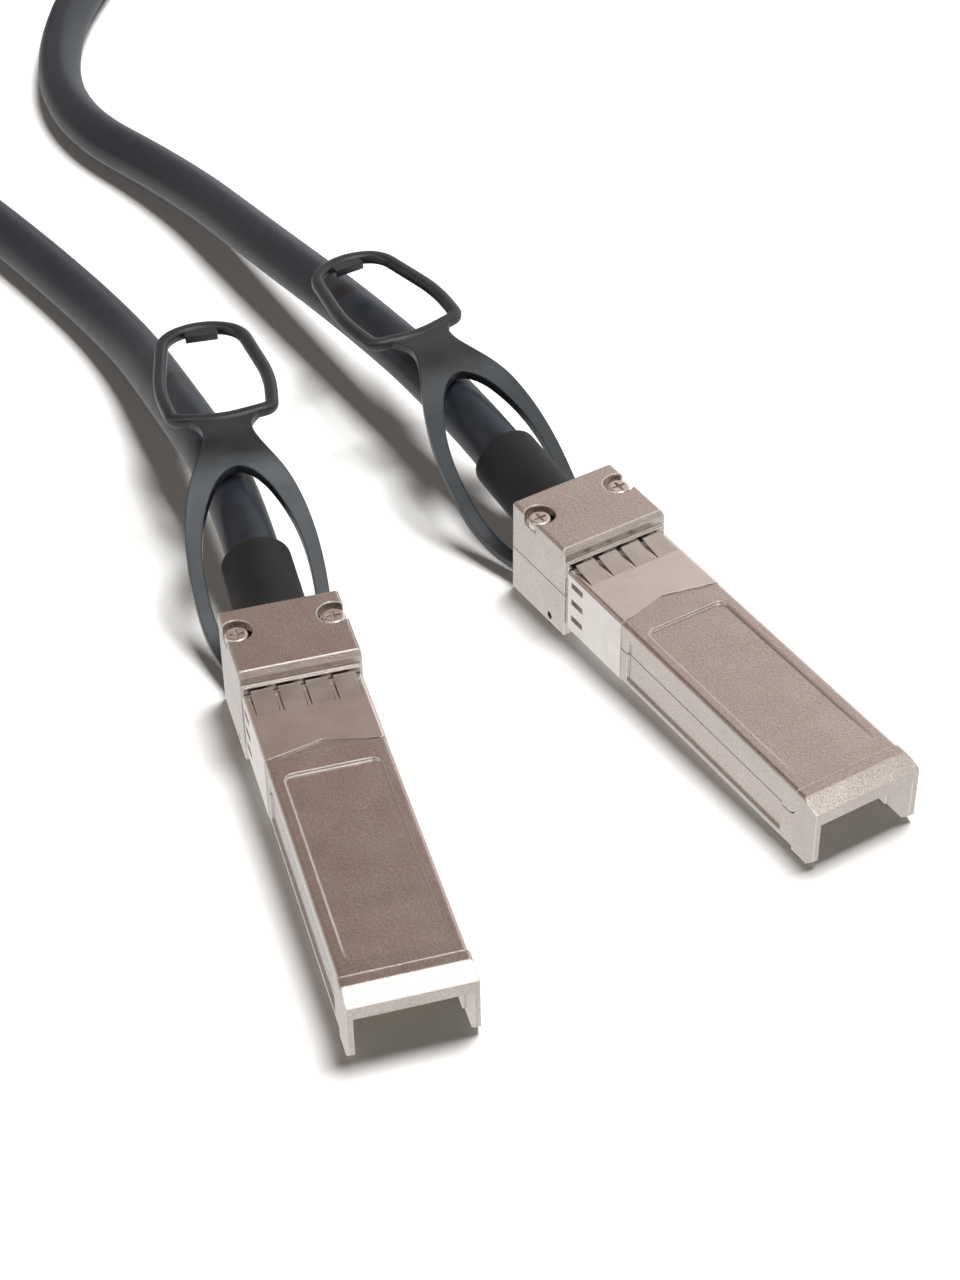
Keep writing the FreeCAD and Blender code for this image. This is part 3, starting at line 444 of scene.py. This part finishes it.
def coilTurns():
    # clockwise turns: the outer one on the floor, the inner one beside it, then up and out over them
    points = []
    step = cable["stepAngle"]
    count = round((cable["entryAngle"] - cable["exitAngle"]) / step)
    for index in range(1, count):
        turnedBy = index * step
        angle = math.radians(cable["entryAngle"] - turnedBy)
        inward = eased(turnedBy, *cable["goesIn"]) - eased(turnedBy, *cable["goesOut"])
        radius = cable["outerTurn"] + (cable["innerTurn"] - cable["outerTurn"]) * inward
        rise = (cable["topLayer"] - cable["bottomLayer"]) * eased(turnedBy, *cable["goesUp"])
        height = cable["bottomLayer"] + rise
        height -= (height - cable["routeB"][-1][2]) * eased(turnedBy, *cable["goesDown"])
        across, along = radius * math.cos(angle), radius * math.sin(angle)
        points.append((cable["coilX"] + across, cable["coilY"] + along, height))
    return points


def splineObject(name, points, radius):
    # a round tube along one smooth curve; the points pull it towards them, and only its ends lie on them
    curve = bpy.data.curves.new(name, "CURVE")
    curve.dimensions = "3D"
    curve.resolution_u = cable["resolution"]
    curve.bevel_depth = radius
    curve.bevel_resolution = cable["roundness"]
    curve.use_fill_caps = True
    line = curve.splines.new("NURBS")
    line.points.add(len(points) - 1)
    line.points.foreach_set("co", [value for point in points for value in (*point, 1.0)])
    line.order_u = 3
    line.use_endpoint_u = True
    made = bpy.data.objects.new(name, curve)
    scene.collection.objects.link(made)
    return made


route = cable["routeA"] + coilTurns() + cable["routeB"][::-1]
cablePiece = splineObject("cable", route, cable["diameter"] / 2)
cablePiece.data.materials.append(jacket)
print("cable laid")

tie = {
    "width": 0.012, "wall": 0.0008, "half": 0.0065, "high": 0.013, "round": 0.0026, "middle": 0.037,
    "low": 0.0008, "cornerPoints": 8, "rows": 9,
}


def roundedOutline(half, low, high, corner, count):
    # a rectangle with arcs at its corners, as x and z arrays: the arc at the corner's centre (x, z) is
    # (x + corner * cos(t), z + corner * sin(t)), and t runs over that corner's quarter turn
    turn = np.linspace(0, math.pi / 2, count)
    centres = [(half - corner, high - corner, 0), (corner - half, high - corner, 1),
               (corner - half, low + corner, 2), (half - corner, low + corner, 3)]
    across = np.concatenate([x + corner * np.cos(turn + quarter * math.pi / 2) for x, _, quarter in centres])
    upward = np.concatenate([z + corner * np.sin(turn + quarter * math.pi / 2) for _, z, quarter in centres])
    return across, upward


def gridObject(name, points):
    # points is a rows by columns by 3 array, closed both ways; each square between neighbours is a face
    rows, columns = points.shape[:2]
    index = np.arange(rows * columns).reshape(rows, columns)
    index = np.vstack([index, index[:1]])
    index = np.hstack([index, index[:, :1]])
    corners = [index[:-1, :-1], index[:-1, 1:], index[1:, 1:], index[1:, :-1]]
    faces = np.stack(corners, axis=-1).reshape(-1, 4)
    mesh = bpy.data.meshes.new(name)
    mesh.from_pydata(points.reshape(-1, 3).tolist(), [], faces.tolist())
    mesh.polygons.foreach_set("use_smooth", [True] * len(mesh.polygons))
    mesh.update()
    made = bpy.data.objects.new(name, mesh)
    scene.collection.objects.link(made)
    return made


def tieStrap():
    # the coil's outline carried round the coil's axis over the strap's width, both walls as one skin
    wall, low, top, count = tie["wall"], tie["low"], tie["low"] + tie["high"], tie["cornerPoints"]
    inner = roundedOutline(tie["half"], low, top, tie["round"], count)
    outer = roundedOutline(tie["half"] + wall, 0.0, top + wall, tie["round"] + wall, count)
    span = tie["width"] / tie["middle"] / 2
    turns = np.linspace(-span, span, tie["rows"]) + math.pi / 2
    rings = []
    for shape, angles in ((outer, turns), (inner, turns[::-1])):
        reach = tie["middle"] + shape[0]
        for angle in angles:
            across = cable["coilX"] + reach * math.cos(angle)
            along = cable["coilY"] + reach * math.sin(angle)
            rings.append(np.stack([across, along, shape[1]], axis=-1))
    return gridObject("tieStrap", np.array(rings))


tiePiece = tieStrap()
tiePiece.data.materials.append(strapFabric)
print("tie made")

outers = [(cablePiece, ("cable_run_a", "cable_run_b", "cable_coil"), "cable_jacket"),
          (tiePiece, ("coil_tie",), "tie_fabric")]
for piece, replaced, slot in outers:
    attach(piece, "root")
    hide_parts(*replaced)

white = (1.0, 1.0, 1.0, 1.0)
ground = {
    "half": 3.0, "level": -0.00003, "middle": (0.0, 0.15, 0.0), "paleFrom": 0.22, "paleBeyond": 0.36,
    "colour": (0.9, 0.9, 0.9, 1.0), "inMetal": (0.82, 0.8, 0.79, 1.0),
    "lift": 0.03, "liftColour": (1.0, 0.97, 0.95, 1.0),
}


def floorMaterial():
    # a pale matt floor, a little lifted for the camera; metal sees it without its shadows, and away from
    # the part it turns white
    material, tree = startMaterial("paleFloor")
    ray = tree.node("ShaderNodeLightPath")
    matt = tree.node("ShaderNodeBsdfDiffuse", {}, {"Color": ground["colour"]})
    lift = {"Color": ground["liftColour"], "Strength": ray * ground["lift"]}
    glow = tree.node("ShaderNodeEmission", {}, lift)
    both = tree.node("ShaderNodeAddShader", {}, {0: matt, 1: glow})
    even = tree.node("ShaderNodeEmission", {}, {"Color": ground["inMetal"]})
    surface = tree.node("ShaderNodeMixShader", {}, {0: ray.beside("Is Glossy Ray"), 1: both, 2: even})
    away = tree.vectors("DISTANCE", place(tree), ground["middle"])
    away = away.spread(ground["paleFrom"], ground["paleBeyond"]) * ray
    pale = tree.node("ShaderNodeEmission", {}, {"Color": white})
    surface = tree.node("ShaderNodeMixShader", {}, {0: away, 1: surface, 2: pale})
    tree.node("ShaderNodeOutputMaterial", {}, {"Surface": surface})
    return material


half, level = ground["half"], ground["level"]
corners = [(-half, -half, level), (half, -half, level), (half, half, level), (-half, half, level)]
floorMesh = bpy.data.meshes.new("floor")
floorMesh.from_pydata(corners, [], [(0, 1, 2, 3)])
floor = bpy.data.objects.new("floor", floorMesh)
scene.collection.objects.link(floor)
floor.data.materials.append(floorMaterial())

# directions are unit vectors: x to the right, y away from the camera, z up
room = {
    "fill": (1.0, 0.85, 0.72, 1.0), "fillLevel": 0.105,
    "wall": (0.95, 0.95, 0.94, 1.0), "nearWall": (0.42, 0.36, 0.33, 1.0),
    "farWall": (0.88, 0.76, 0.715, 1.0), "farTop": (0.46, 0.4, 0.365, 1.0),
    "dimSide": (0.46, 0.4, 0.375, 1.0), "softBox": (3.5, 3.5, 3.5, 1.0),
    "wallUpTo": 0.42, "farWallAt": 0.6, "farTopAt": 0.8,
    "dimUpTo": (0.17, 0.29), "farFrom": (-0.05, 0.13), "nearUpTo": (-0.6, -0.2),
    "boxLeft": (0.04, 0.12), "boxRight": (0.33, 0.4), "boxNear": (-0.55, -0.45), "boxFar": (0.13, 0.22),
    "boxLow": (0.6, 0.7),
}


def studioWorld():
    # white to the camera and a warm fill for the light; metal sees pale sides, a dim wall near the camera, a
    # warm one beyond the part that darkens to the left, and a soft box overhead
    world = bpy.data.worlds.new("room")
    world.use_nodes = True
    world.node_tree.nodes.clear()
    scene.world = world
    tree = Signal(world.node_tree)
    ray = tree.node("ShaderNodeLightPath")
    way = tree.node("ShaderNodeTexCoord", output="Generated")
    sideways = tree.node("ShaderNodeSeparateXYZ", {}, {0: way})
    beyond = sideways.beside("Y")
    height = sideways.beside("Z")
    stops = [(0.0, room["wall"]), (room["wallUpTo"], room["wall"]), (room["farWallAt"], room["farWall"]),
             (room["farTopAt"], room["farTop"])]
    far = height.node("ShaderNodeValToRGB", {"stops": stops}, {0: height})
    far = sideways.spread(*room["dimUpTo"]).blend(room["dimSide"], white).times(far)
    seen = beyond.spread(*room["farFrom"]).blend(room["wall"], far)
    seen = beyond.spread(*room["nearUpTo"]).blend(room["nearWall"], seen)
    box = sideways.spread(*room["boxLeft"]) * sideways.spread(*room["boxRight"], 1.0, 0.0)
    box = box * beyond.spread(*room["boxNear"]) * beyond.spread(*room["boxFar"], 1.0, 0.0)
    box = box * height.spread(*room["boxLow"])
    seen = box.blend(seen, room["softBox"])
    fill = tree.node("ShaderNodeBackground", {}, {"Color": room["fill"], "Strength": room["fillLevel"]})
    inMetal = tree.node("ShaderNodeBackground", {}, {"Color": seen})
    backdrop = tree.node("ShaderNodeBackground", {}, {"Color": white})
    lit = tree.node("ShaderNodeMixShader", {}, {0: ray.beside("Is Glossy Ray"), 1: fill, 2: inMetal})
    shown = tree.node("ShaderNodeMixShader", {}, {0: ray, 1: lit, 2: backdrop})
    tree.node("ShaderNodeOutputWorld", {}, {"Surface": shown})


studioWorld()

keyLamp = {
    "place": (0.236, 0.14, 0.815), "aim": (0.02, 0.08, 0.0), "side": 0.34, "watts": 10.7,
    "tint": (1.0, 0.99, 0.975),
}


def softLamp():
    lamp = bpy.data.lights.new("keyLamp", "AREA")
    lamp.shape = "SQUARE"
    lamp.size = keyLamp["side"]
    lamp.energy = keyLamp["watts"]
    lamp.color = keyLamp["tint"]
    made = bpy.data.objects.new("keyLamp", lamp)
    made.visible_glossy = False  # the room's soft box stands for it in the metal
    made.location = keyLamp["place"]
    made.rotation_mode = "QUATERNION"
    made.rotation_quaternion = (Vector(keyLamp["aim"]) - Vector(keyLamp["place"])).to_track_quat("-Z", "Y")
    scene.collection.objects.link(made)


softLamp()

view = {
    "place": (-0.0427, -0.1901, 0.2113), "turn": 14.9, "pitch": 39.23, "roll": -1.64,
    "lens": 80.12, "sensor": 36.0, "near": 0.01, "far": 20.0,
}


def setCamera():
    # looks along its own -Z; roll turns it about that line
    turn, pitch, roll = (math.radians(view[key]) for key in ("turn", "pitch", "roll"))
    ahead = Vector((math.sin(turn) * math.cos(pitch), math.cos(turn) * math.cos(pitch), -math.sin(pitch)))
    right = Vector((math.cos(turn), -math.sin(turn), 0.0))
    up = right.cross(ahead)
    rolledRight = right * math.cos(roll) + up * math.sin(roll)
    rolledUp = up * math.cos(roll) - right * math.sin(roll)
    facing = Matrix((rolledRight, rolledUp, -ahead)).transposed().to_4x4()
    data = bpy.data.cameras.new("camera")
    data.lens = view["lens"]
    data.sensor_width = view["sensor"]
    data.clip_start, data.clip_end = view["near"], view["far"]
    made = bpy.data.objects.new("camera", data)
    made.matrix_world = Matrix.Translation(view["place"]) @ facing
    scene.collection.objects.link(made)
    scene.camera = made


setCamera()
scene.view_settings.view_transform = "Standard"
print("floor, light and camera set")
